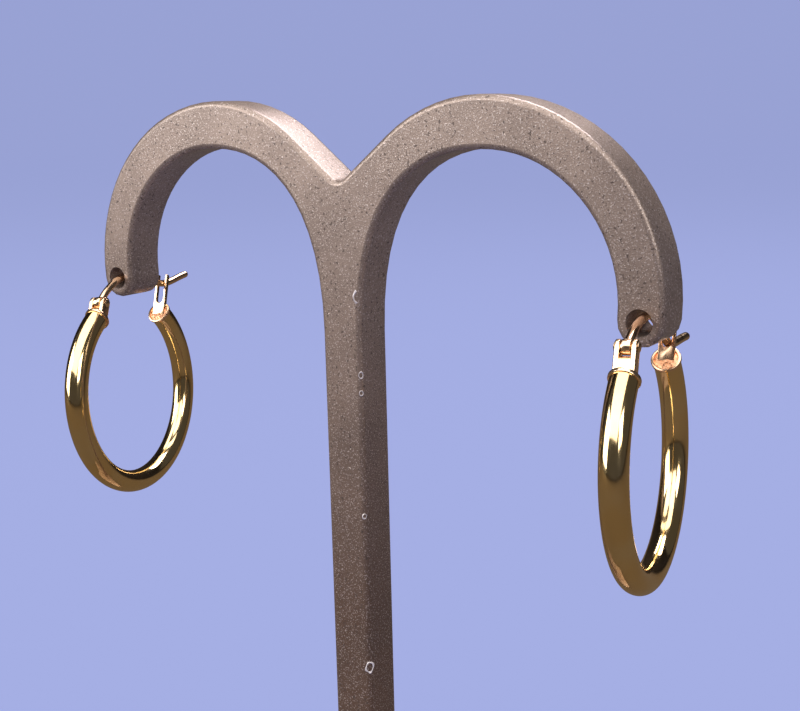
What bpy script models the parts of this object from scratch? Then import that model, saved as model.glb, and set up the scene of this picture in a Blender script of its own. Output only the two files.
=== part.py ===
"""A pair of hinged hoop earrings hanging on a double-arch display stand.

The stand is one moulded piece: a base, a slim stem and two arms that arch outwards to a rounded tip
with a hole through it. Each earring is a round tube bent to a circle that is open at the top. Its
front end carries two hinge ears with a pin, and its back end a slotted catch. The ear wire turns on
the pin, goes through the hole in the arm and lies in the catch.

Metres, +Z up. The front faces -Y, and the origin is the middle of the base's underside.
"""
import math
from dataclasses import dataclass

import bmesh
import bpy
from mathutils import Matrix, Vector

MM = 0.001

# Stand: heights are above the underside of the base
STAND_HEIGHT = 112.0 * MM
STAND_THICKNESS = 5.0 * MM
STAND_EDGE = 0.6 * MM
STEM_WIDTH = 4.9 * MM
APEX_X = 16.7 * MM
ARM_RADIUS = 16.5 * MM
ARM_WIDTH_APEX = 5.1 * MM
ARM_WIDTH_TIP = 4.6 * MM
ARM_END_ANGLE = math.radians(-4.5)
SHOULDER_RADIUS = 16.8 * MM
SHOULDER_SLOPE = math.radians(38.8)
NOTCH_RADIUS = 1.4 * MM
FORK_DEPTH = 24.3 * MM
FORK_APEX_HANDLE = 6.7 * MM
FORK_STEM_HANDLE = 15.1 * MM
HOLE_RADIUS = 1.3 * MM
FOOT_RADIUS = 5.0 * MM
BASE_LENGTH = 62.0 * MM
BASE_DEPTH = 40.0 * MM
BASE_HEIGHT = 6.0 * MM
BASE_CORNER = 8.0 * MM
BASE_EDGE = 1.5 * MM

# Hoop: places on it are in its own plane, from the middle of its circle
HOOP_RADIUS = 11.05 * MM
TUBE_RADIUS = 1.3 * MM
CAP_RADIUS = 1.45 * MM
CAP_THICKNESS = 0.4 * MM
SOLDER_DEPTH = 0.6 * MM
EAR_THICKNESS = 0.5 * MM
EAR_RADIUS = 0.7 * MM
EAR_LEAN = math.radians(21.0)
CATCH_WIDTH = 1.6 * MM
CATCH_THICKNESS = 0.5 * MM
CATCH_RISE = 4.9 * MM
CATCH_LEAN = math.radians(16.0)
LATCH_RISE = 1.7 * MM

# Ear wire and hinge pin
WIRE_RADIUS = 0.42 * MM
WIRE_ARCH = 2.15 * MM
CREST_X = 0.8 * MM
TAIL_LENGTH = 5.6 * MM
TAIL_RISE = 0.1 * MM
TAIL_SIDE = 0.7 * MM
EYE_RADIUS = 0.72 * MM
EYE_WIDTH = 0.84 * MM
PIN_RADIUS = 0.28 * MM
PIN_HEAD_RADIUS = 0.46 * MM
PIN_HEAD_HEIGHT = 0.15 * MM

# Clearances
HINGE_GAP = 0.07 * MM
PIN_FIT = 0.04 * MM
REST_GAP = 0.1 * MM

# Facets
TUBE_SIDES = 16
CAP_SIDES = 20
WIRE_SIDES = 10
ROUND_SIDES = 16
HOOP_STEPS = 48
ARM_STEPS = 18
CURVE_STEPS = 14
TIP_STEPS = 8
HOLE_STEPS = 20
EDGE_STEPS = 3
WIRE_STEPS = 7


@dataclass(frozen=True)
class Hang:
    """One earring: its side, the half angle of its gap, its ears' rise to the pin, and how it hangs.

    It is turned about the vertical, leans, swings in its own plane, and its wire is lifted by an angle.
    Its wire's crest lies crest_y behind the middle of the arm.
    """

    name: str
    side: int
    gap: float
    ear_rise: float
    turn: float
    lean: float
    swing: float
    lift: float
    crest_y: float


HANGS = (
    Hang("right", 1, gap=math.radians(42.5), ear_rise=2.85 * MM, turn=math.radians(-8.1),
         lean=math.radians(-2.9), swing=math.radians(5.0), lift=0.0, crest_y=-0.5 * MM),
    Hang("left", -1, gap=math.radians(35.5), ear_rise=1.9 * MM, turn=math.radians(-12.4),
         lean=math.radians(-3.6), swing=math.radians(6.5), lift=math.radians(9.5), crest_y=-0.8 * MM),
)

SATIN_BRONZE = ("satin_bronze_paint", (0.155, 0.125, 0.110), 0.42, 0.55)
YELLOW_GOLD = ("yellow_gold", (0.930, 0.640, 0.260), 0.12, 1.0)
ROSE_SOLDER = ("rose_gold_wire", (0.900, 0.560, 0.330), 0.20, 1.0)


def clear_scene():
    """Remove whatever the file holds."""
    for old in list(bpy.data.objects):
        bpy.data.objects.remove(old, do_unlink=True)


def make_collection(name):
    """Add a collection to the scene."""
    collection = bpy.data.collections.new(name)
    bpy.context.scene.collection.children.link(collection)
    return collection


def make_material(finish):
    """Turn a finish (name, colour, roughness, metallic) into a Principled material."""
    name, colour, roughness, metallic = finish
    material = bpy.data.materials.new(name)
    material.use_nodes = True
    shader = material.node_tree.nodes["Principled BSDF"]
    shader.inputs["Base Color"].default_value = (*colour, 1.0)
    shader.inputs["Roughness"].default_value = roughness
    shader.inputs["Metallic"].default_value = metallic
    return material


def arc(centre, radius, start, end, steps):
    """Points of an arc in a plane, both ends included."""
    return [
        (centre[0] + radius * math.cos(start + (end - start) * i / steps),
         centre[1] + radius * math.sin(start + (end - start) * i / steps))
        for i in range(steps + 1)
    ]


def bezier(p0, p1, p2, p3, steps):
    """Points of a cubic curve in a plane, both ends included."""
    points = []
    for i in range(steps + 1):
        t = i / steps
        s = 1.0 - t
        weights = (s ** 3, 3 * s * s * t, 3 * s * t * t, t ** 3)
        points.append(tuple(sum(w * p[k] for w, p in zip(weights, (p0, p1, p2, p3))) for k in (0, 1)))
    return points


def hermite(start, start_dir, end, end_dir, steps):
    """Points of a smooth curve between two places with given directions."""
    reach = math.dist(start, end) / 3.0
    handle_a = tuple(p + reach * d for p, d in zip(start, start_dir))
    handle_b = tuple(p - reach * d for p, d in zip(end, end_dir))
    return bezier(start, handle_a, handle_b, end, steps)


def along(angle):
    """Unit direction in a plane, with its angle measured from the upright towards the first axis."""
    return (math.sin(angle), math.cos(angle))


def shift(point, direction, distance):
    """A point moved along a direction in its plane."""
    return (point[0] + direction[0] * distance, point[1] + direction[1] * distance)


def curve_to_mesh_object(curve, collection, name):
    """Make a curve object's evaluated shape a welded mesh object in the same place."""
    source = bpy.data.objects.new(name + "_curve", curve)
    collection.objects.link(source)
    depsgraph = bpy.context.evaluated_depsgraph_get()
    depsgraph.update()
    mesh = bpy.data.meshes.new_from_object(source.evaluated_get(depsgraph))
    matrix = source.matrix_world.copy()
    bpy.data.objects.remove(source, do_unlink=True)
    bpy.data.curves.remove(curve)
    mesh.materials.clear()
    welded = bmesh.new()
    welded.from_mesh(mesh)
    bmesh.ops.remove_doubles(welded, verts=welded.verts, dist=0.0001 * MM)
    bmesh.ops.recalc_face_normals(welded, faces=welded.faces)
    welded.to_mesh(mesh)
    welded.free()
    obj = bpy.data.objects.new(name, mesh)
    obj.matrix_world = matrix
    collection.objects.link(obj)
    return obj


def flat_solid(name, outlines, thickness, collection, edge=0.0):
    """A plate: closed outlines (the first is the edge, the rest are holes) with a thickness along Z.

    Its rims are rounded with a radius of edge, inside the outline.
    """
    curve = bpy.data.curves.new(name, "CURVE")
    curve.dimensions = "2D"
    curve.fill_mode = "BOTH"
    curve.extrude = thickness / 2.0 - edge
    curve.bevel_depth = edge
    curve.bevel_resolution = EDGE_STEPS - 1
    curve.offset = -edge
    for outline in outlines:
        spline = curve.splines.new("POLY")
        spline.points.add(len(outline) - 1)
        for point, (x, y) in zip(spline.points, outline):
            point.co = (x, y, 0.0, 1.0)
        spline.use_cyclic_u = True
    return curve_to_mesh_object(curve, collection, name)


def round_bar(name, path, radius, sides, collection):
    """A round bar along points, with flat ends."""
    curve = bpy.data.curves.new(name, "CURVE")
    curve.dimensions = "3D"
    curve.bevel_depth = radius
    curve.bevel_resolution = sides // 2 - 2
    curve.use_fill_caps = True
    spline = curve.splines.new("POLY")
    spline.points.add(len(path) - 1)
    for point, place in zip(spline.points, path):
        point.co = (*place, 1.0)
    return curve_to_mesh_object(curve, collection, name)


def cross_cylinder(name, centre, radius, length, sides, collection):
    """A cylinder along Y round a place in the XZ plane."""
    mesh = bpy.data.meshes.new(name)
    shape = bmesh.new()
    bmesh.ops.create_cone(shape, cap_ends=True, segments=sides, radius1=radius, radius2=radius, depth=length,
                          matrix=Matrix.Translation((centre[0], 0.0, centre[1])) @ STAND_UP)
    shape.to_mesh(mesh)
    shape.free()
    obj = bpy.data.objects.new(name, mesh)
    collection.objects.link(obj)
    return obj


def move_mesh(obj, matrix):
    """Give an object's mesh its place, turn included."""
    obj.data.transform(matrix)
    return obj


def combine(obj, other, operation):
    """Apply an exact Boolean and remove the other object."""
    modifier = obj.modifiers.new("join", "BOOLEAN")
    modifier.operation = operation
    modifier.solver = "EXACT"
    modifier.object = other
    apply_modifiers(obj)
    bpy.data.objects.remove(other, do_unlink=True)


def apply_modifiers(obj):
    """Replace an object's mesh by its evaluated one."""
    depsgraph = bpy.context.evaluated_depsgraph_get()
    depsgraph.update()
    mesh = bpy.data.meshes.new_from_object(obj.evaluated_get(depsgraph))
    old = obj.data
    obj.modifiers.clear()
    obj.data = mesh
    bpy.data.meshes.remove(old)


def finish_object(obj, material, parent=None):
    """Shade a piece smooth with sharp edges kept, dress it and hang it on its parent."""
    obj.data.materials.clear()
    obj.data.materials.append(material)
    obj.data.shade_smooth()
    obj.data.set_sharp_from_angle(angle=math.radians(35.0))
    if parent:
        obj.parent = parent


# Turns a plate drawn in XY into one that stands in XZ
STAND_UP = Matrix.Rotation(math.pi / 2.0, 4, "X")

# Places that follow from the sizes
ARM_CENTRE = (APEX_X, STAND_HEIGHT - ARM_WIDTH_APEX / 2.0 - ARM_RADIUS)
HOLE_X = ARM_CENTRE[0] + ARM_RADIUS * math.cos(ARM_END_ANGLE)
HOLE_Z = ARM_CENTRE[1] + ARM_RADIUS * math.sin(ARM_END_ANGLE)


def arm_half_width(angle):
    """Half the arm's width at an angle round the arm's centre: it narrows from apex to tip."""
    share = (angle - ARM_END_ANGLE) / (math.pi / 2.0 - ARM_END_ANGLE)
    return (ARM_WIDTH_TIP + (ARM_WIDTH_APEX - ARM_WIDTH_TIP) * share ** 2) / 2.0


def arm_side(sign, start, end):
    """One side of the arm's outer quarter: sign +1 is the outside of the bend, -1 the inside."""
    points = []
    for i in range(ARM_STEPS + 1):
        angle = start + (end - start) * i / ARM_STEPS
        radius = ARM_RADIUS + sign * arm_half_width(angle)
        points.append((ARM_CENTRE[0] + radius * math.cos(angle), ARM_CENTRE[1] + radius * math.sin(angle)))
    return points


def half_outline():
    """The stand's right half, from the notch between the arms round to the foot inside the base."""
    slope = SHOULDER_SLOPE
    shoulder_centre = (APEX_X, STAND_HEIGHT - SHOULDER_RADIUS)
    shoulder = arc(shoulder_centre, SHOULDER_RADIUS, math.pi / 2.0 + slope, math.pi / 2.0, CURVE_STEPS // 2)
    crossing_z = shoulder[0][1] - math.tan(slope) * shoulder[0][0]
    notch_centre = (0.0, crossing_z + NOTCH_RADIUS / math.cos(slope))
    notch = arc(notch_centre, NOTCH_RADIUS, -math.pi / 2.0, -math.pi / 2.0 + slope, CURVE_STEPS // 3)
    outside = arm_side(1, math.pi / 2.0, ARM_END_ANGLE)
    tip = arc((HOLE_X, HOLE_Z), ARM_WIDTH_TIP / 2.0, ARM_END_ANGLE, ARM_END_ANGLE - math.pi, TIP_STEPS)
    inside = arm_side(-1, ARM_END_ANGLE, math.pi / 2.0)
    apex = inside[-1]
    stem_x = STEM_WIDTH / 2.0
    fork_z = STAND_HEIGHT - FORK_DEPTH
    fork = bezier(apex, shift(apex, (-1.0, 0.0), FORK_APEX_HANDLE), (stem_x, fork_z + FORK_STEM_HANDLE),
                  (stem_x, fork_z), CURVE_STEPS)
    foot = arc((stem_x + FOOT_RADIUS, BASE_HEIGHT + FOOT_RADIUS), FOOT_RADIUS, math.pi, 1.5 * math.pi,
               CURVE_STEPS // 2)
    sole = [(foot[-1][0], BASE_HEIGHT / 2.0)]
    return notch + shoulder + outside[1:] + tip[1:] + inside[1:] + fork[1:] + foot + sole


def build_base(collection):
    """The plain base: a slab with round corners and a soft top edge."""
    mesh = bpy.data.meshes.new("base")
    shape = bmesh.new()
    bmesh.ops.create_cube(shape, size=1.0)
    bmesh.ops.scale(shape, vec=(BASE_LENGTH, BASE_DEPTH, BASE_HEIGHT), verts=shape.verts)
    bmesh.ops.translate(shape, vec=(0.0, 0.0, BASE_HEIGHT / 2.0), verts=shape.verts)
    upright = [e for e in shape.edges if abs(e.verts[0].co.z - e.verts[1].co.z) > BASE_HEIGHT / 2.0]
    bmesh.ops.bevel(shape, geom=upright, offset=BASE_CORNER, segments=8, profile=0.5, affect="EDGES")
    top = [e for e in shape.edges if all(v.co.z > BASE_HEIGHT / 2.0 for v in e.verts)]
    bmesh.ops.bevel(shape, geom=top, offset=BASE_EDGE, segments=4, profile=0.5, affect="EDGES")
    shape.to_mesh(mesh)
    shape.free()
    obj = bpy.data.objects.new("base", mesh)
    collection.objects.link(obj)
    return obj


def build_stand(collection, material):
    """The moulded stand: an outline with softened edges, drilled for the wires, and the base."""
    right = half_outline()
    left = [(-x, z) for x, z in reversed(right[1:])]
    stand = flat_solid("stand", [right + left], STAND_THICKNESS, collection, STAND_EDGE)
    move_mesh(stand, STAND_UP)
    for side in (1, -1):
        hole = (side * HOLE_X, HOLE_Z)
        drill = cross_cylinder("drill", hole, HOLE_RADIUS, 2.0 * STAND_THICKNESS, HOLE_STEPS, collection)
        combine(stand, drill, "DIFFERENCE")
    combine(stand, build_base(collection), "UNION")
    finish_object(stand, material)
    return stand


def tube_end(hang, side):
    """Centre of a tube end in the hoop's plane: side -1 is the front end, +1 the back one."""
    return (side * HOOP_RADIUS * math.sin(hang.gap), HOOP_RADIUS * math.cos(hang.gap))


def pin_place(hang):
    """The hinge pin's axis in the hoop's plane."""
    return shift(tube_end(hang, -1), along(EAR_LEAN), hang.ear_rise)


def latch_place(hang):
    """Where the latched wire crosses the catch, in the hoop's plane."""
    return shift(tube_end(hang, 1), along(CATCH_LEAN), LATCH_RISE)


EAR_SPACING = EYE_WIDTH + 2.0 * HINGE_GAP


def capsule(start, end, radius, steps):
    """Outline of a bar with round ends."""
    angle = math.atan2(end[1] - start[1], end[0] - start[0])
    quarter = math.pi / 2.0
    return (arc(start, radius, angle + quarter, angle + 3 * quarter, steps)
            + arc(end, radius, angle - quarter, angle + quarter, steps))


def build_cap(hoop, hang, side, collection):
    """Close a tube end with a round cap that stands a little proud of the tube."""
    end = tube_end(hang, side)
    mesh = bpy.data.meshes.new("cap")
    shape = bmesh.new()
    turned = Matrix.Rotation(side * (hang.gap - math.pi / 2.0), 4, "Y")
    place = Matrix.Translation((end[0], 0.0, end[1])) @ turned
    bmesh.ops.create_cone(shape, cap_ends=True, segments=CAP_SIDES, radius1=CAP_RADIUS, radius2=CAP_RADIUS,
                          depth=CAP_THICKNESS, matrix=place)
    shape.to_mesh(mesh)
    shape.free()
    cap = bpy.data.objects.new("cap", mesh)
    collection.objects.link(cap)
    combine(hoop, cap, "UNION")


def build_ears(hoop, hang, collection):
    """Solder the two hinge ears, drilled for the pin, on the hoop's front end."""
    root = shift(tube_end(hang, -1), along(EAR_LEAN), -SOLDER_DEPTH)
    outline = capsule(root, pin_place(hang), EAR_RADIUS, TIP_STEPS)
    drilled = arc(pin_place(hang), PIN_RADIUS + PIN_FIT, 0.0, 2.0 * math.pi, ROUND_SIDES)[:-1]
    for side in (-1, 1):
        ear = flat_solid("ear", [outline, drilled], EAR_THICKNESS, collection)
        offset = side * (EAR_SPACING + EAR_THICKNESS) / 2.0
        move_mesh(ear, Matrix.Translation((0.0, offset, 0.0)) @ STAND_UP)
        combine(hoop, ear, "UNION")


def build_catch(hoop, hang, collection):
    """Solder the slotted catch plate on the hoop's back end."""
    half = CATCH_WIDTH / 2.0
    slot = WIRE_RADIUS + HINGE_GAP
    prong = (half - slot) / 2.0
    floor = arc((0.0, LATCH_RISE), slot, 0.0, -math.pi, TIP_STEPS)
    right_prong = arc((slot + prong, CATCH_RISE - prong), prong, 0.0, math.pi, TIP_STEPS // 2)
    left_prong = arc((-slot - prong, CATCH_RISE - prong), prong, 0.0, math.pi, TIP_STEPS // 2)
    outline = [(-half, -SOLDER_DEPTH), (half, -SOLDER_DEPTH)] + right_prong + floor + left_prong
    catch = flat_solid("catch", [outline], CATCH_THICKNESS, collection)
    root = tube_end(hang, 1)
    rise = along(CATCH_LEAN)
    axes = Matrix(((0.0, rise[0], rise[1]), (1.0, 0.0, 0.0), (0.0, rise[1], -rise[0]))).to_4x4()
    move_mesh(catch, Matrix.Translation((root[0], 0.0, root[1])) @ axes)
    combine(hoop, catch, "UNION")


def build_hoop(name, hang, collection, material, frame):
    """The hoop: a round tube bent to an open circle, with caps, ears and catch soldered to its ends."""
    start = math.pi / 2.0 + hang.gap
    end = 2.5 * math.pi - hang.gap
    ring = [(x, 0.0, z) for x, z in arc((0.0, 0.0), HOOP_RADIUS, start, end, HOOP_STEPS)]
    hoop = round_bar(name, ring, TUBE_RADIUS, TUBE_SIDES, collection)
    for side in (-1, 1):
        build_cap(hoop, hang, side, collection)
    build_ears(hoop, hang, collection)
    build_catch(hoop, hang, collection)
    finish_object(hoop, material, frame)
    return hoop


def wire_path(hang):
    """The latched ear wire's centre line in the hoop's frame, from the eye to the end of its tail.

    It arches over to the catch in the hoop's plane. Past the catch its tail rises and bends aside.
    """
    pin = pin_place(hang)
    latch = latch_place(hang)
    crest = (CREST_X, pin[1] + WIRE_ARCH)
    rise = math.atan2(crest[1] - pin[1], crest[0] - pin[0])
    leave = (math.cos(2.0 * rise), math.sin(2.0 * rise))
    start = shift(pin, leave, (PIN_RADIUS + HINGE_GAP + EYE_RADIUS) / 2.0)
    fall = math.atan2(latch[1] - crest[1], latch[0] - crest[0])
    through = (math.cos(fall), math.sin(fall))
    tail_end = (latch[0] + TAIL_LENGTH, latch[1] + TAIL_RISE)
    up = math.atan2(TAIL_RISE, TAIL_LENGTH)
    outwards = (math.cos(2.0 * up), math.sin(2.0 * up))
    arch = (hermite(start, leave, crest, (1.0, 0.0), WIRE_STEPS)
            + hermite(crest, (1.0, 0.0), latch, through, WIRE_STEPS)[1:])
    tail = hermite(latch, through, tail_end, outwards, WIRE_STEPS)
    path = [Vector((x, 0.0, z)) for x, z in arch]
    for i in range(1, WIRE_STEPS + 1):
        path.append(Vector((tail[i][0], -TAIL_SIDE * (i / WIRE_STEPS) ** 2, tail[i][1])))
    return path


def build_wire(name, hang, collection, material, hinge):
    """The ear wire: a round wire with a drilled eye, drawn from the pin's axis."""
    pin = Vector((pin_place(hang)[0], 0.0, pin_place(hang)[1]))
    path = [place - pin for place in wire_path(hang)]
    wire = round_bar(name, path, WIRE_RADIUS, WIRE_SIDES, collection)
    eye = cross_cylinder("eye", (0.0, 0.0), EYE_RADIUS, EYE_WIDTH, ROUND_SIDES, collection)
    combine(wire, eye, "UNION")
    bore = PIN_RADIUS + HINGE_GAP
    drill = cross_cylinder("drill", (0.0, 0.0), bore, 3.0 * EYE_WIDTH, ROUND_SIDES, collection)
    combine(wire, drill, "DIFFERENCE")
    finish_object(wire, material, hinge)
    return wire


def build_pin(name, collection, material, hinge):
    """The hinge pin: a turned shaft with a low head on each side of the ears."""
    over_ears = EAR_SPACING / 2.0 + EAR_THICKNESS + PIN_FIT
    profile = [
        (0.0, over_ears + PIN_HEAD_HEIGHT),
        (0.6 * PIN_HEAD_RADIUS, over_ears + PIN_HEAD_HEIGHT),
        (PIN_HEAD_RADIUS, over_ears + 0.4 * PIN_HEAD_HEIGHT),
        (PIN_HEAD_RADIUS, over_ears),
        (PIN_RADIUS, over_ears),
    ]
    profile += [(r, -z) for r, z in reversed(profile)]
    mesh = bpy.data.meshes.new(name)
    edges = [(i, i + 1) for i in range(len(profile) - 1)]
    mesh.from_pydata([(r, 0.0, z) for r, z in profile], edges, [])
    pin = bpy.data.objects.new(name, mesh)
    collection.objects.link(pin)
    turn = pin.modifiers.new("turned", "SCREW")
    turn.axis = "Z"
    turn.steps = ROUND_SIDES
    turn.render_steps = ROUND_SIDES
    turn.use_merge_vertices = True
    turn.merge_threshold = 0.001 * MM
    apply_modifiers(pin)
    move_mesh(pin, STAND_UP)
    finish_object(pin, material, hinge)
    return pin


def hoop_matrix(hang):
    """The hoop's place: its wire runs through the middle of the hole and rests on the hole's floor."""
    turn = (Matrix.Rotation(math.pi / 2.0 - hang.turn, 4, "Z") @ Matrix.Rotation(hang.lean, 4, "X")
            @ Matrix.Rotation(hang.swing, 4, "Y"))
    pin = Vector((pin_place(hang)[0], 0.0, pin_place(hang)[1]))
    lift = Matrix.Rotation(-hang.lift, 3, "Y")
    wire = [turn @ (pin + lift @ (place - pin)) for place in wire_path(hang)]
    crest = wire[WIRE_STEPS]
    y = hang.crest_y - crest.y
    at_middle = nearest_crossing(wire, -y)
    x = hang.side * HOLE_X - at_middle.x
    reach = HOLE_RADIUS * math.cos(math.pi / HOLE_STEPS) - WIRE_RADIUS - REST_GAP
    z = max(
        HOLE_Z - math.sqrt(max(reach ** 2 - (p.x + x - hang.side * HOLE_X) ** 2, 0.0)) - p.z
        for p in stretch_inside(wire, y)
    )
    return Matrix.Translation((x, y, z)) @ turn


def nearest_crossing(wire, y):
    """The place on the wire at a given y, between two of its points."""
    for a, b in zip(wire, wire[1:]):
        if a.y <= y <= b.y:
            return a.lerp(b, (y - a.y) / (b.y - a.y))
    return wire[WIRE_STEPS]


def stretch_inside(wire, y):
    """The wire's points that lie in the stand's hole once it is moved by y, with the hole's two mouths."""
    half = STAND_THICKNESS / 2.0
    mouths = [nearest_crossing(wire, -half - y), nearest_crossing(wire, half - y)]
    return mouths + [p for p in wire if abs(p.y + y) < half]


def make_empty(name, collection, matrix, parent=None):
    """A placed empty for pieces to hang on."""
    empty = bpy.data.objects.new(name, None)
    empty.empty_display_size = HOOP_RADIUS
    collection.objects.link(empty)
    empty.parent = parent
    empty.matrix_local = matrix
    return empty


def build_earring(hang, collection, gold, rose):
    """One earring: the hoop on its frame, and the pin and wire on the hinge."""
    frame = make_empty(hang.name + "_hoop_frame", collection, hoop_matrix(hang))
    pin_x, pin_z = pin_place(hang)
    hinge = make_empty(hang.name + "_hinge", collection, Matrix.Translation((pin_x, 0.0, pin_z)), frame)
    lifted = make_empty(hang.name + "_lifted", collection, Matrix.Rotation(-hang.lift, 4, "Y"), hinge)
    build_hoop(hang.name + "_hoop", hang, collection, gold, frame)
    build_pin(hang.name + "_hinge_pin", collection, rose, hinge)
    build_wire(hang.name + "_ear_wire", hang, collection, rose, lifted)


def main():
    """Build the stand and both earrings."""
    clear_scene()
    collection = make_collection("hoop_earrings_on_stand")
    bronze, gold, rose = (make_material(f) for f in (SATIN_BRONZE, YELLOW_GOLD, ROSE_SOLDER))
    build_stand(collection, bronze)
    for hang in HANGS:
        build_earring(hang, collection, gold, rose)
    bpy.context.view_layer.update()


main()
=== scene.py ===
"""Gold hoop earrings hanging on a bronze-painted display stand, dressed for a studio render.

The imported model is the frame. The stand keeps its CAD shape and gets a speckled metallic paint, fine
metal flakes and a few chips. Each earring's CAD nodes are replaced by finer pieces in the same place.
"""

import logging
import math
from dataclasses import dataclass
from enum import Enum
from typing import Iterable, List, Sequence, Tuple

import bmesh
import bpy
from mathutils import Matrix, Vector, noise


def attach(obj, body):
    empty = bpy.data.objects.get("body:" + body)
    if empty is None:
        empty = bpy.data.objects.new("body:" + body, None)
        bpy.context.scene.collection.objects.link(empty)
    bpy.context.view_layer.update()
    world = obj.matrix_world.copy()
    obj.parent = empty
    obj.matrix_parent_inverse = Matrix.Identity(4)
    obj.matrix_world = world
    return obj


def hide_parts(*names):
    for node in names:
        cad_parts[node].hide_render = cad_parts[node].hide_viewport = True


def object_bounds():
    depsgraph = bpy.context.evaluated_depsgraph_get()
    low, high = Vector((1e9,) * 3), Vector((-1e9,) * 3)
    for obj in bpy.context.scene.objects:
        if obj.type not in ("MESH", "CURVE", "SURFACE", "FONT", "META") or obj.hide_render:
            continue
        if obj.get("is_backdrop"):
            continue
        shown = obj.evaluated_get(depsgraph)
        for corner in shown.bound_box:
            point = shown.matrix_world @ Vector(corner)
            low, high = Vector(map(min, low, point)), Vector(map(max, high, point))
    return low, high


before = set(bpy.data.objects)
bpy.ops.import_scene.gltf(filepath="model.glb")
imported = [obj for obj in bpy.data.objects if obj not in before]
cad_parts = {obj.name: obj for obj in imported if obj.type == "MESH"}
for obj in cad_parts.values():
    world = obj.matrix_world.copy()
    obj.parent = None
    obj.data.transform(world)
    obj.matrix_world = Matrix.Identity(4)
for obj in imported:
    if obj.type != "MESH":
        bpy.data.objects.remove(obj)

MM = 0.001
LOG = logging.getLogger("earrings")
SHARP_TURNED = math.radians(40.0)
SHARP_PLATE = math.radians(50.0)
CORNER_SHARE = 0.3
Point2 = Tuple[float, float]
Range = Tuple[float, float]
Colour = Tuple[float, float, float]


class Body(Enum):
    """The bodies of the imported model."""

    ROOT = "root"
    RIGHT_WIRE = "right_wire"
    LEFT_WIRE = "left_wire"


class Slot(Enum):
    """The record's material slots."""

    PAINT = "satin_bronze_paint"
    GOLD = "yellow_gold"
    ROSE = "rose_gold_wire"


class ShaderGraph:
    """A material's node tree, with short calls to add and join nodes."""

    def __init__(self, name: str) -> None:
        """Start a material with a Principled shader.

        Args:
            name: The material's name.
        """
        self.material = bpy.data.materials.new(name)
        self.material.use_nodes = True
        self.tree = self.material.node_tree
        self.shader = self.tree.nodes["Principled BSDF"]
        self.coords = self.tree.nodes.new("ShaderNodeTexCoord").outputs["Object"]

    def set(self, **values: object) -> None:
        """Set constants on the shader.

        Args:
            values: A value for each socket, with _ for a space in the socket's name.
        """
        for key, value in values.items():
            self.shader.inputs[key.replace("_", " ")].default_value = value

    def add(self, kind: str, **settings: object) -> bpy.types.Node:
        """Add a node.

        Args:
            kind: The node's type.
            settings: Its properties.

        Returns:
            The node.
        """
        node = self.tree.nodes.new(kind)
        for key, value in settings.items():
            setattr(node, key, value)
        return node

    def join(self, source: bpy.types.NodeSocket, target: bpy.types.NodeSocket) -> None:
        """Link two sockets.

        Args:
            source: The output.
            target: The input.
        """
        self.tree.links.new(source, target)

    def noise(self, scale: float, detail: float = 3.0,
              stretch: Colour = (1.0, 1.0, 1.0)) -> bpy.types.NodeSocket:
        """Add a noise in object space.

        Args:
            scale: Features per metre.
            detail: Octaves.
            stretch: Factors on the coordinates.

        Returns:
            The noise's value, from 0 to 1.
        """
        mapping = self.add("ShaderNodeMapping")
        mapping.inputs["Scale"].default_value = stretch
        self.join(self.coords, mapping.inputs["Vector"])
        texture = self.add("ShaderNodeTexNoise")
        texture.inputs["Scale"].default_value = scale
        texture.inputs["Detail"].default_value = detail
        self.join(mapping.outputs["Vector"], texture.inputs["Vector"])
        return texture.outputs["Fac"]

    def remap(self, value: bpy.types.NodeSocket, low: float, high: float,
              to_low: float = 0.0, to_high: float = 1.0) -> bpy.types.NodeSocket:
        """Map a value from one range to another, clamped.

        Args:
            value: What is mapped.
            low: The input that gives to_low.
            high: The input that gives to_high.
            to_low: The output at low.
            to_high: The output at high.

        Returns:
            The mapped value.
        """
        node = self.add("ShaderNodeMapRange")
        for key, number in (("From Min", low), ("From Max", high), ("To Min", to_low), ("To Max", to_high)):
            node.inputs[key].default_value = number
        self.join(value, node.inputs["Value"])
        return node.outputs["Result"]

    def height(self) -> bpy.types.NodeSocket:
        """Read the height above the floor.

        Returns:
            The height, in metres.
        """
        split = self.add("ShaderNodeSeparateXYZ")
        self.join(self.coords, split.inputs["Vector"])
        return split.outputs["Z"]

    def mix(self, factor: bpy.types.NodeSocket, first: object, second: object) -> bpy.types.NodeSocket:
        """Mix two colours.

        Args:
            factor: The share of the second.
            first: A colour or a socket.
            second: A colour or a socket.

        Returns:
            The mixed colour.
        """
        node = self.add("ShaderNodeMix", data_type="RGBA")
        self.join(factor, node.inputs["Factor"])
        for socket, colour in ((node.inputs[6], first), (node.inputs[7], second)):
            if isinstance(colour, bpy.types.NodeSocket):
                self.join(colour, socket)
            else:
                socket.default_value = (*colour, 1.0)
        return node.outputs[2]

    def bump(self, height: bpy.types.NodeSocket, distance: float, strength: float) -> None:
        """Raise the surface by a value.

        Args:
            height: The value.
            distance: The height of 1, in metres.
            strength: The share of it that shows.
        """
        node = self.add("ShaderNodeBump")
        node.inputs["Distance"].default_value = distance
        node.inputs["Strength"].default_value = strength
        self.join(height, node.inputs["Height"])
        self.join(node.outputs["Normal"], self.shader.inputs["Normal"])


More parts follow.
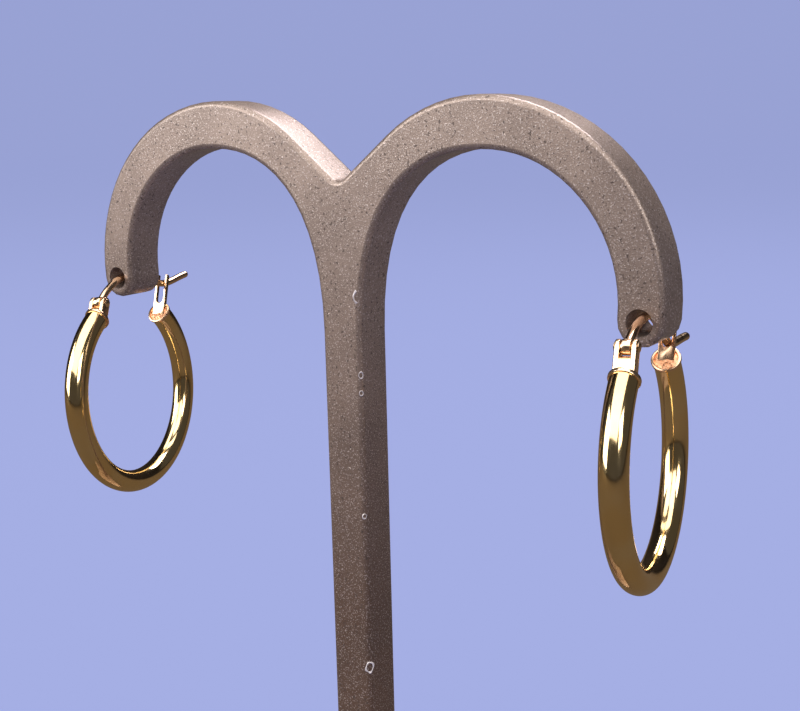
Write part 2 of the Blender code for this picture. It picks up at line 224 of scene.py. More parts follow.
@dataclass(frozen=True)
class BronzePaint:
    """Metallic bronze-brown paint with fine bright specks, and painted shade that makes it darker towards
    the foot.
    """

    name: str = "bronze_paint_speckled"
    top: Colour = (0.330, 0.250, 0.205)
    # painted shade: the foot colour darkens the lower stem as if less light reached it
    shaded_foot: Colour = (0.165, 0.100, 0.070)
    speck: Colour = (0.620, 0.520, 0.470)
    pit: Colour = (0.120, 0.088, 0.074)
    metallic: float = 0.55
    roughness: float = 0.40
    coat: float = 0.35
    coat_roughness: float = 0.20
    speck_scale: float = 6500.0
    pit_scale: float = 3300.0
    cloud_scale: float = 160.0
    cloud_band: Range = (0.35, 0.65)
    cloud_share: float = 0.35
    # heights over which the painted shade gives way to the top colour
    shade_fade_heights: Range = (0.055, 0.098)
    speck_band: Range = (0.56, 0.70)
    speck_roughness: float = 0.30
    pit_band: Range = (0.36, 0.30)
    grain_height: float = 0.05 * MM
    grain_strength: float = 0.35

    def build(self) -> bpy.types.Material:
        """Make the material.

        Returns:
            The material.
        """
        graph = ShaderGraph(self.name)
        # painted shade: blend from the darkened foot colour up to the top colour by height
        shade_fade = graph.remap(graph.height(), *self.shade_fade_heights)
        cloud = graph.remap(graph.noise(self.cloud_scale), *self.cloud_band, 0.0, self.cloud_share)
        base = graph.mix(shade_fade, self.shaded_foot, self.top)
        base = graph.mix(cloud, base, self.pit)
        grain = graph.noise(self.speck_scale, detail=2.0)
        specks = graph.remap(grain, *self.speck_band)
        pits = graph.remap(graph.noise(self.pit_scale, detail=1.0), *self.pit_band)
        colour = graph.mix(specks, base, self.speck)
        colour = graph.mix(pits, colour, self.pit)
        graph.join(colour, graph.shader.inputs["Base Color"])
        rough = graph.remap(specks, 0.0, 1.0, self.roughness, self.speck_roughness)
        graph.join(rough, graph.shader.inputs["Roughness"])
        graph.set(Metallic=self.metallic, Coat_Weight=self.coat, Coat_Roughness=self.coat_roughness)
        graph.bump(grain, self.grain_height, self.grain_strength)
        return graph.material


@dataclass(frozen=True)
class Metal:
    """Polished metal: its colour, a second colour in faint clouds, and a fine waviness."""

    name: str
    colour: Colour
    cloud: Colour
    roughness: float
    wave: float = 0.012 * MM
    wave_scale: float = 420.0
    wave_stretch: Colour = (1.0, 1.0, 0.5)
    cloud_scale: float = 260.0
    cloud_band: Range = (0.42, 0.70)
    rough_scale: float = 2600.0
    rough_detail: float = 4.0
    rough_stretch: Colour = (1.0, 1.0, 0.25)
    rough_band: Range = (0.3, 0.8)
    rough_gain: float = 1.8

    def build(self) -> bpy.types.Material:
        """Make the material.

        Returns:
            The material.
        """
        graph = ShaderGraph(self.name)
        clouds = graph.remap(graph.noise(self.cloud_scale), *self.cloud_band)
        graph.join(graph.mix(clouds, self.colour, self.cloud), graph.shader.inputs["Base Color"])
        grain = graph.noise(self.rough_scale, self.rough_detail, self.rough_stretch)
        rough = graph.remap(grain, *self.rough_band, self.roughness, self.rough_gain * self.roughness)
        graph.join(rough, graph.shader.inputs["Roughness"])
        graph.set(Metallic=1.0)
        graph.bump(graph.noise(self.wave_scale, 1.0, self.wave_stretch), self.wave, 1.0)
        return graph.material


@dataclass(frozen=True)
class PittedSolder:
    """Rosy solder with small dark pits."""

    name: str = "pitted_solder"
    colour: Colour = (0.900, 0.480, 0.270)
    pit: Colour = (0.300, 0.110, 0.050)
    pit_scale: float = 4200.0
    pit_band: Range = (0.46, 0.36)
    pit_depth: float = 0.12 * MM
    roughness: float = 0.30

    def build(self) -> bpy.types.Material:
        """Make the material.

        Returns:
            The material.
        """
        graph = ShaderGraph(self.name)
        grain = graph.noise(self.pit_scale)
        pits = graph.remap(grain, *self.pit_band)
        graph.join(graph.mix(pits, self.colour, self.pit), graph.shader.inputs["Base Color"])
        graph.set(Metallic=1.0, Roughness=self.roughness)
        graph.bump(grain, self.pit_depth, 1.0)
        return graph.material


@dataclass(frozen=True)
class Plain:
    """A finish of one colour."""

    name: str
    colour: Colour
    roughness: float
    metallic: float

    def build(self) -> bpy.types.Material:
        """Make the material.

        Returns:
            The material.
        """
        graph = ShaderGraph(self.name)
        graph.set(Base_Color=(*self.colour, 1.0), Roughness=self.roughness, Metallic=self.metallic)
        return graph.material


@dataclass(frozen=True)
class PaleGround:
    """The studio's ground: pale blue with a faint glow, and dark to glossy rays, so in what mirrors it."""

    name: str = "pale_ground"
    seen: Colour = (0.340, 0.388, 0.700)
    glow: float = 0.90
    lit_share: float = 0.12
    unseen: Colour = (0.085, 0.066, 0.045)
    roughness: float = 0.9

    def build(self) -> bpy.types.Material:
        """Make the material.

        Returns:
            The material.
        """
        graph = ShaderGraph(self.name)
        lit = tuple(self.lit_share * value for value in self.seen)
        graph.set(Base_Color=(*lit, 1.0), Roughness=self.roughness, Specular_IOR_Level=0.0,
                  Emission_Color=(*self.seen, 1.0), Emission_Strength=self.glow)
        dark = graph.add("ShaderNodeBsdfDiffuse")
        dark.inputs["Color"].default_value = (*self.unseen, 1.0)
        mix = graph.add("ShaderNodeMixShader")
        graph.join(graph.add("ShaderNodeLightPath").outputs["Is Glossy Ray"], mix.inputs[0])
        graph.join(graph.shader.outputs["BSDF"], mix.inputs[1])
        graph.join(dark.outputs["BSDF"], mix.inputs[2])
        graph.join(mix.outputs["Shader"], graph.tree.nodes["Material Output"].inputs["Surface"])
        return graph.material


@dataclass(frozen=True)
class Finishes:
    """The built materials."""

    paint: bpy.types.Material
    flake: bpy.types.Material
    chip: bpy.types.Material
    gold: bpy.types.Material
    rose: bpy.types.Material
    solder: bpy.types.Material
    ground: bpy.types.Material

    @classmethod
    def build(cls) -> "Finishes":
        """Make all the materials.

        Returns:
            The finishes.
        """
        return cls(
            paint=BronzePaint().build(),
            flake=Plain("paint_flake", (0.78, 0.66, 0.60), 0.28, 0.9).build(),
            chip=Plain("chip_edge", (0.66, 0.60, 0.58), 0.35, 0.2).build(),
            gold=Metal("polished_yellow_gold", (0.950, 0.700, 0.340), (0.960, 0.760, 0.440), 0.085).build(),
            rose=Metal("rosy_gold", (0.950, 0.700, 0.460), (0.920, 0.560, 0.340), 0.14).build(),
            solder=PittedSolder().build(),
            ground=PaleGround().build(),
        )


def add_object(name: str, data: bpy.types.ID) -> bpy.types.Object:
    """Make an object and link it to the scene.

    Args:
        name: Its name.
        data: Its mesh, light or camera.

    Returns:
        The object.
    """
    obj = bpy.data.objects.new(name, data)
    bpy.context.scene.collection.objects.link(obj)
    return obj


def evaluated_mesh(source: bpy.types.Object) -> bpy.types.Mesh:
    """Work out an object's modifiers and remove the object.

    Args:
        source: The object.

    Returns:
        The mesh that its modifiers make.
    """
    depsgraph = bpy.context.evaluated_depsgraph_get()
    depsgraph.update()
    mesh = bpy.data.meshes.new_from_object(source.evaluated_get(depsgraph))
    bpy.data.objects.remove(source, do_unlink=True)
    return mesh


def ring_faces(rows: int, sides: int, closed: bool = False) -> List[Sequence[int]]:
    """List the faces between rings of points.

    Args:
        rows: The number of rings.
        sides: The points in each ring.
        closed: Whether the last ring joins the first. If not, the two end rings are filled.

    Returns:
        The vertex numbers of each face.
    """
    faces: List[Sequence[int]] = []
    for i in range(rows if closed else rows - 1):
        here, there = i * sides, ((i + 1) % rows) * sides
        for k in range(sides):
            after = (k + 1) % sides
            faces.append((here + k, here + after, there + after, there + k))
    if not closed:
        last = (rows - 1) * sides
        faces += [tuple(range(sides)), tuple(range(last, last + sides))]
    return faces


def round_rim(radius: float, half: float, soft: float) -> List[Point2]:
    """Profile of a disc's rim with both corners rounded.

    Args:
        radius: The rim's radius.
        half: Half the disc's thickness.
        soft: The corners' width.

    Returns:
        The (radius, height) pairs from the top to the bottom.
    """
    inset = CORNER_SHARE * soft
    return [(radius - soft, half), (radius - inset, half - inset), (radius, half - soft),
            (radius, soft - half), (radius - inset, inset - half), (radius - soft, -half)]


class Shape:
    """Mesh makers. Each returns a mesh object at the origin with its place in its mesh."""

    @staticmethod
    def from_faces(name: str, points: Iterable[Vector], faces: Iterable[Sequence[int]]) -> bpy.types.Object:
        """Make a mesh object.

        Args:
            name: The object's name.
            points: The vertices.
            faces: Vertex numbers of each face.

        Returns:
            The object, smooth and linked to the scene.
        """
        mesh = bpy.data.meshes.new(name)
        mesh.from_pydata([tuple(p) for p in points], [], [tuple(f) for f in faces])
        tidy = bmesh.new()
        tidy.from_mesh(mesh)
        bmesh.ops.recalc_face_normals(tidy, faces=tidy.faces)
        tidy.to_mesh(mesh)
        tidy.free()
        mesh.shade_smooth()
        mesh.set_sharp_from_angle(angle=SHARP_TURNED)
        return add_object(name, mesh)

    @staticmethod
    def sweep(name: str, path: Sequence[Vector], radii: Sequence[float], sides: int) -> bpy.types.Object:
        """Sweep a circle along a path, with flat closed ends.

        Args:
            name: The object's name.
            path: The centre line.
            radii: The circle's radius at each point.
            sides: Its facets.

        Returns:
            The object.
        """
        normal = Vector((0.0, 1.0, 0.0))
        points: List[Vector] = []
        for i, centre in enumerate(path):
            tangent = (path[min(i + 1, len(path) - 1)] - path[max(i - 1, 0)]).normalized()
            normal = (normal - tangent * normal.dot(tangent)).normalized()
            other = tangent.cross(normal)
            for k in range(sides):
                angle = 2.0 * math.pi * k / sides
                points.append(centre + (normal * math.cos(angle) + other * math.sin(angle)) * radii[i])
        return Shape.from_faces(name, points, ring_faces(len(path), sides))

    @staticmethod
    def lathe(name: str, profile: Sequence[Point2], sides: int, closed: bool = False) -> bpy.types.Object:
        """Turn a profile about Z.

        Args:
            name: The object's name.
            profile: (radius, height) pairs; an end off the axis is closed by a flat face.
            sides: The facets round the axis.
            closed: Whether the profile closes on itself, for a ring.

        Returns:
            The object.
        """
        points = [
            Vector((r * math.cos(2.0 * math.pi * k / sides), r * math.sin(2.0 * math.pi * k / sides), z))
            for r, z in profile for k in range(sides)
        ]
        return Shape.from_faces(name, points, ring_faces(len(profile), sides, closed))

    @staticmethod
    def plate(name: str, outline: Sequence[Point2], thickness: float, edge: float) -> bpy.types.Object:
        """Make a plate in XZ with a soft edge, centred on Y.

        Args:
            name: The object's name.
            outline: Its (x, z) points.
            thickness: Its thickness along Y.
            edge: The width of the softened edge.

        Returns:
            The object.
        """
        shape = bmesh.new()
        ring = [shape.verts.new((x, -thickness / 2.0, z)) for x, z in outline]
        face = shape.faces.new(ring)
        grown = bmesh.ops.extrude_face_region(shape, geom=[face])["geom"]
        moved = [item for item in grown if isinstance(item, bmesh.types.BMVert)]
        bmesh.ops.translate(shape, vec=(0.0, thickness, 0.0), verts=moved)
        bmesh.ops.recalc_face_normals(shape, faces=shape.faces)
        rim = [e for e in shape.edges if abs(e.verts[0].co.y - e.verts[1].co.y) < thickness / 4.0]
        bmesh.ops.bevel(shape, geom=rim, offset=edge, segments=3, profile=0.5, affect="EDGES",
                        clamp_overlap=True)
        mesh = bpy.data.meshes.new(name)
        shape.to_mesh(mesh)
        shape.free()
        mesh.shade_smooth()
        mesh.set_sharp_from_angle(angle=SHARP_PLATE)
        return add_object(name, mesh)

    @staticmethod
    def merge(name: str, objects: Sequence[bpy.types.Object]) -> bpy.types.Object:
        """Make one mesh object of several.

        Args:
            name: The new object's name.
            objects: Mesh objects, which are removed.

        Returns:
            The new object.
        """
        joined = bmesh.new()
        for obj in objects:
            joined.from_mesh(obj.data)
            bpy.data.objects.remove(obj, do_unlink=True)
        mesh = bpy.data.meshes.new(name)
        joined.to_mesh(mesh)
        joined.free()
        return add_object(name, mesh)


def put(obj: bpy.types.Object, matrix: Matrix, material: bpy.types.Material, body: Body,
        nodes: Sequence[str] = ()) -> bpy.types.Object:
    """Place a piece in its mesh, dress it and let it ride.

    Args:
        obj: The piece.
        matrix: Its place in the part's frame.
        material: Its material.
        body: The body that it rides on.
        nodes: The CAD nodes that it stands for.

    Returns:
        The piece.
    """
    obj.data.transform(matrix)
    obj.data.materials.clear()
    obj.data.materials.append(material)
    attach(obj, body.value)
    if nodes:
        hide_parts(*nodes)
    LOG.info("%s: %d faces on %s", obj.name, len(obj.data.polygons), body.value)
    return obj


def along(angle: float) -> Point2:
    """Make a unit direction in a plane.

    Args:
        angle: Its angle from the upright.

    Returns:
        The direction.
    """
    return (math.sin(angle), math.cos(angle))


def shift(point: Point2, direction: Point2, distance: float) -> Point2:
    """Move a point along a direction.

    Args:
        point: The point.
        direction: A unit direction.
        distance: How far it moves.

    Returns:
        The moved point.
    """
    return (point[0] + direction[0] * distance, point[1] + direction[1] * distance)


def hermite(start: Point2, leave: Point2, end: Point2, arrive: Point2, steps: int) -> List[Point2]:
    """Points of a smooth curve between two places.

    Args:
        start: The first place.
        leave: The direction there.
        end: The last place.
        arrive: The direction there.
        steps: The number of stretches.

    Returns:
        The points, both ends included.
    """
    reach = math.dist(start, end) / 3.0
    corners = (start, shift(start, leave, reach), shift(end, arrive, -reach), end)
    points = []
    for i in range(steps + 1):
        t = i / steps
        weights = ((1 - t) ** 3, 3 * t * (1 - t) ** 2, 3 * t * t * (1 - t), t ** 3)
        points.append((sum(w * c[0] for w, c in zip(weights, corners)),
                       sum(w * c[1] for w, c in zip(weights, corners))))
    return points


def lift_to_plane(points: Iterable[Point2]) -> List[Vector]:
    """Give (x, z) points a y of 0.

    Args:
        points: The points.

    Returns:
        The points in space.
    """
    return [Vector((x, 0.0, z)) for x, z in points]


STAND_UP = Matrix.Rotation(math.pi / 2.0, 4, "X")


@dataclass
class Earring:
    """One hoop earring in the place of its CAD nodes: tube, caps, solder, ears, catch, pin and wire."""

    side: str
    body: Body
    centre: Tuple[float, float, float]
    turn: float
    lean: float
    swing: float
    lift: float
    gap: float
    ear_rise: float
    hoop_radius: float = 11.05 * MM
    tube_radius: float = 1.3 * MM
    cap_radius: float = 1.45 * MM
    cap_thickness: float = 0.4 * MM
    ear_thickness: float = 0.5 * MM
    ear_radius: float = 0.7 * MM
    ear_lean: float = math.radians(21.0)
    solder_depth: float = 0.6 * MM
    catch_width: float = 1.6 * MM
    catch_thickness: float = 0.5 * MM
    catch_rise: float = 4.9 * MM
    catch_lean: float = math.radians(16.0)
    latch_rise: float = 1.7 * MM
    wire_radius: float = 0.42 * MM
    wire_arch: float = 2.15 * MM
    crest_x: float = 0.8 * MM
    tail_length: float = 5.6 * MM
    tail_rise: float = 0.1 * MM
    tail_side: float = 0.7 * MM
    eye_radius: float = 0.72 * MM
    eye_width: float = 0.84 * MM
    pin_radius: float = 0.28 * MM
    pin_head_radius: float = 0.46 * MM
    pin_head_height: float = 0.15 * MM
    hinge_gap: float = 0.07 * MM
    pin_fit: float = 0.04 * MM
    edge: float = 0.09 * MM
    tube_sides: int = 48
    tube_steps: int = 220
    wire_sides: int = 24
    wire_steps: int = 16
    tip_steps: int = 6
    tip_radius: float = 0.01 * MM
    axis_radius: float = 0.02 * MM
    dish_share: float = 0.80
    dish_floor: float = 0.3
    dome: Tuple[Range, ...] = ((0.55, 0.9), (0.85, 0.6), (1.0, 0.2))
    arc_steps: int = 14
    prong_steps: int = 8
    pin_sides: int = 28
    eye_sides: int = 36
    solder_rings: int = 14
    lump_size: float = 0.45 * MM
    lump_floor: float = 0.55
    lump_gain: float = 0.9

    @property
    def place(self) -> Matrix:
        """The hoop's place: local X to the back, Z up, Y across the hoop.

        Returns:
            The matrix to the part's frame.
        """
        return (Matrix.Translation(self.centre) @ Matrix.Rotation(math.pi / 2.0 - self.turn, 4, "Z")
                @ Matrix.Rotation(self.lean, 4, "X") @ Matrix.Rotation(self.swing, 4, "Y"))

    def tube_end(self, side: int) -> Point2:
        """Find a tube end's centre.

        Args:
            side: -1 for the front end, +1 for the back one.

        Returns:
            The centre in the hoop's plane.
        """
        return (side * self.hoop_radius * math.sin(self.gap), self.hoop_radius * math.cos(self.gap))

    @property
    def pin(self) -> Point2:
        """The hinge pin's axis.

        Returns:
            Its place in the hoop's plane.
        """
        return shift(self.tube_end(-1), along(self.ear_lean), self.ear_rise)

    @property
    def latch(self) -> Point2:
        """Where the latched wire crosses the catch.

        Returns:
            The place in the hoop's plane.
        """
        return shift(self.tube_end(1), along(self.catch_lean), self.latch_rise)

    def end_matrix(self, side: int) -> Matrix:
        """Place a piece on a tube end.

        Args:
            side: -1 for the front end, +1 for the back one.

        Returns:
            The matrix to the hoop's frame, with Z out of the tube.
        """
        x, z = self.tube_end(side)
        outwards = math.atan2(-side * math.cos(self.gap), math.sin(self.gap))
        return Matrix.Translation((x, 0.0, z)) @ Matrix.Rotation(outwards, 4, "Y")

    def build_tube(self, finishes: Finishes) -> None:
        """The bent tube, which stands for the hoop's node.

        Args:
            finishes: The materials.
        """
        start, end = math.pi / 2.0 + self.gap, 2.5 * math.pi - self.gap
        path = []
        for i in range(self.tube_steps + 1):
            angle = start + (end - start) * i / self.tube_steps
            path.append(Vector((math.cos(angle), 0.0, math.sin(angle))) * self.hoop_radius)
        tube = Shape.sweep(f"{self.side}_tube", path, [self.tube_radius] * len(path), self.tube_sides)
        put(tube, self.place, finishes.gold, Body.ROOT, [f"{self.side}_hoop"])

    def build_caps(self, finishes: Finishes) -> None:
        """A dished cap with a bright rim on each tube end, and pitted solder in its dish.

        Args:
            finishes: The materials.
        """
        radius, half, soft = self.cap_radius, self.cap_thickness / 2.0, self.edge
        dish, sunk = self.dish_share * radius, self.dish_floor * half
        profile = [(self.axis_radius, sunk), (dish, sunk), (dish + soft / 2.0, half),
                   *round_rim(radius, half, soft), (self.axis_radius, -half)]
        for side, label in ((-1, "front"), (1, "back")):
            matrix = self.place @ self.end_matrix(side)
            cap = Shape.lathe(f"{self.side}_{label}_cap", profile, self.tube_sides)
            put(cap, matrix, finishes.rose, Body.ROOT)
            solder = self.solder_disc(f"{self.side}_{label}_solder", dish, sunk, half)
            put(solder, matrix, finishes.solder, Body.ROOT)

    def solder_disc(self, name: str, radius: float, low: float, high: float) -> bpy.types.Object:
        """A lumpy disc of solder.

        Args:
            name: The object's name.
            radius: Its radius.
            low: Its height at the rim.
            high: The most that a lump reaches.

        Returns:
            The object.
        """
        rings, sides = self.solder_rings, self.tube_sides
        points = [Vector((0.0, 0.0, high))]
        for ring in range(1, rings + 1):
            share = ring / rings
            for k in range(sides):
                angle = 2.0 * math.pi * k / sides
                x, y = share * radius * math.cos(angle), share * radius * math.sin(angle)
                lump = 0.5 + 0.5 * noise.noise(Vector((x, y, self.gap * MM)) / self.lump_size)
                rise = (self.lump_floor + self.lump_gain * lump) * (1.0 - share ** 4)
                points.append(Vector((x, y, low + (high - low) * rise)))
        faces: List[Sequence[int]] = [(0, 1 + k, 1 + (k + 1) % sides) for k in range(sides)]
        for ring in range(rings - 1):
            for k in range(sides):
                a, b = 1 + ring * sides + k, 1 + ring * sides + (k + 1) % sides
                faces.append((a, a + sides, b + sides, b))
        return Shape.from_faces(name, points, faces)

    def build_ears(self, finishes: Finishes) -> None:
        """The two hinge ears and the solder between their feet.

        Args:
            finishes: The materials.
        """
        root = shift(self.tube_end(-1), along(self.ear_lean), -self.solder_depth)
        outline = capsule(root, self.pin, self.ear_radius, self.arc_steps)
        offset = (self.eye_width + 2.0 * self.hinge_gap + self.ear_thickness) / 2.0
        ears = []
        for side in (-1, 1):
            ear = Shape.plate(f"ear_{side}", outline, self.ear_thickness, 1.8 * self.edge)
            ear.data.transform(Matrix.Translation((0.0, side * offset, 0.0)))
            ears.append(ear)
        saddle_top = shift(self.pin, along(self.ear_lean), -self.eye_radius - self.edge - self.ear_radius)
        saddle = capsule(root, saddle_top, self.ear_radius, self.arc_steps)
        ears.append(Shape.plate("saddle", saddle, 2.0 * offset, self.edge))
        put(Shape.merge(f"{self.side}_hinge_ears", ears), self.place, finishes.rose, Body.ROOT)

    def build_catch(self, finishes: Finishes) -> None:
        """The slotted catch: two prongs with the wire's rest between them.

        Args:
            finishes: The materials.
        """
        half = self.catch_width / 2.0
        slot = self.wire_radius + self.hinge_gap
        prong = (half - slot) / 2.0
        tip = self.catch_rise - prong
        outline = ([(-half, -self.solder_depth), (half, -self.solder_depth)]
                   + half_turn((slot + prong, tip), prong, 1, self.prong_steps)
                   + half_turn((0.0, self.latch_rise), slot, -1, self.arc_steps)
                   + half_turn((-slot - prong, tip), prong, 1, self.prong_steps))
        catch = Shape.plate(f"{self.side}_catch", outline, self.catch_thickness, 0.5 * self.edge)
        x, z = self.tube_end(1)
        rise = along(self.catch_lean)
        axes = Matrix(((0.0, -rise[1], rise[0]), (1.0, 0.0, 0.0), (0.0, rise[0], rise[1]))).to_4x4()
        put(catch, self.place @ Matrix.Translation((x, 0.0, z)) @ axes, finishes.rose, Body.ROOT)

    def build_pin(self, finishes: Finishes) -> None:
        """The hinge pin with a domed head at each end.

        Args:
            finishes: The materials.
        """
        reach = self.eye_width / 2.0 + self.hinge_gap + self.ear_thickness + self.pin_fit
        head, rise = self.pin_head_radius, self.pin_head_height
        half = [(self.axis_radius, reach + rise),
                *((wide * head, reach + high * rise) for wide, high in self.dome),
                (head, reach), (self.pin_radius, reach)]
        pin = Shape.lathe(f"{self.side}_pin", half + [(r, -z) for r, z in reversed(half)], self.pin_sides)
        matrix = self.place @ Matrix.Translation((self.pin[0], 0.0, self.pin[1])) @ STAND_UP
        put(pin, matrix, finishes.rose, Body.ROOT, [f"{self.side}_hinge_pin"])

    def wire_line(self) -> List[Vector]:
        """Draw the latched wire's centre line.

        Returns:
            Its points, from the eye to the end of the tail.
        """
        pin, latch, steps = self.pin, self.latch, self.wire_steps
        crest = (self.crest_x, pin[1] + self.wire_arch)
        rise = math.atan2(crest[1] - pin[1], crest[0] - pin[0])
        leave = (math.cos(2.0 * rise), math.sin(2.0 * rise))
        start = shift(pin, leave, (self.pin_radius + self.hinge_gap + self.eye_radius) / 2.0)
        fall = math.atan2(latch[1] - crest[1], latch[0] - crest[0])
        through = (math.cos(fall), math.sin(fall))
        tail_end = (latch[0] + self.tail_length, latch[1] + self.tail_rise)
        up = math.atan2(self.tail_rise, self.tail_length)
        outwards = (math.cos(2.0 * up), math.sin(2.0 * up))
        level = (1.0, 0.0)
        path = lift_to_plane(hermite(start, leave, crest, level, steps)
                             + hermite(crest, level, latch, through, steps)[1:])
        for i, (x, z) in enumerate(hermite(latch, through, tail_end, outwards, steps)[1:], 1):
            path.append(Vector((x, -self.tail_side * (i / steps) ** 2, z)))
        return path

    def build_wire(self, finishes: Finishes) -> None:
        """The ear wire with its eye, which turns on the pin.

        Args:
            finishes: The materials.
        """
        path = self.wire_line()
        tip = path[-1] - (path[-1] - path[-2]).normalized() * self.wire_radius
        direction = (path[-1] - path[-2]).normalized()
        path = [p for p in path[:-1] if (tip - p).dot(direction) > 0.0]
        radii = [self.wire_radius] * len(path)
        for i in range(self.tip_steps + 1):
            angle = math.pi / 2.0 * i / self.tip_steps
            path.append(tip + direction * self.wire_radius * math.sin(angle))
            radii.append(max(self.wire_radius * math.cos(angle), self.tip_radius))
        wire = Shape.sweep("wire", path, radii, self.wire_sides)
        half, soft = self.eye_width / 2.0, self.edge
        inner = self.pin_radius + self.hinge_gap
        ring = [*round_rim(self.eye_radius, half, soft), (inner, -half), (inner, half)]
        eye = Shape.lathe("eye", ring, self.eye_sides, closed=True)
        pin = Vector((self.pin[0], 0.0, self.pin[1]))
        eye.data.transform(Matrix.Translation(pin) @ STAND_UP)
        lifted = Matrix.Translation(pin) @ Matrix.Rotation(-self.lift, 4, "Y") @ Matrix.Translation(-pin)
        whole = Shape.merge(f"{self.side}_wire", [wire, eye])
        put(whole, self.place @ lifted, finishes.rose, self.body, [f"{self.side}_ear_wire"])

    def build(self, finishes: Finishes) -> None:
        """Build the whole earring.

        Args:
            finishes: The materials.
        """
        self.build_tube(finishes)
        self.build_caps(finishes)
        self.build_ears(finishes)
        self.build_catch(finishes)
        self.build_pin(finishes)
        self.build_wire(finishes)


def half_turn(centre: Point2, radius: float, sense: int, steps: int) -> List[Point2]:
    """Half a circle from its right to its left.

    Args:
        centre: The circle's centre.
        radius: Its radius.
        sense: 1 over the top, -1 under the bottom.
        steps: The number of stretches.

    Returns:
        The points, both ends included.
    """
    return [(centre[0] + radius * math.cos(math.pi * i / steps),
             centre[1] + sense * radius * math.sin(math.pi * i / steps)) for i in range(steps + 1)]


def capsule(start: Point2, end: Point2, radius: float, steps: int) -> List[Point2]:
    """Outline of a bar with round ends.

    Args:
        start: The centre of one end.
        end: The centre of the other.
        radius: The ends' radius.
        steps: The stretches of each end.

    Returns:
        The outline's points.
    """
    heading = math.atan2(end[1] - start[1], end[0] - start[0])
    points = []
    for centre, first in ((start, heading + math.pi / 2.0), (end, heading - math.pi / 2.0)):
        for i in range(steps + 1):
            angle = first + math.pi * i / steps
            points.append((centre[0] + radius * math.cos(angle), centre[1] + radius * math.sin(angle)))
    return points


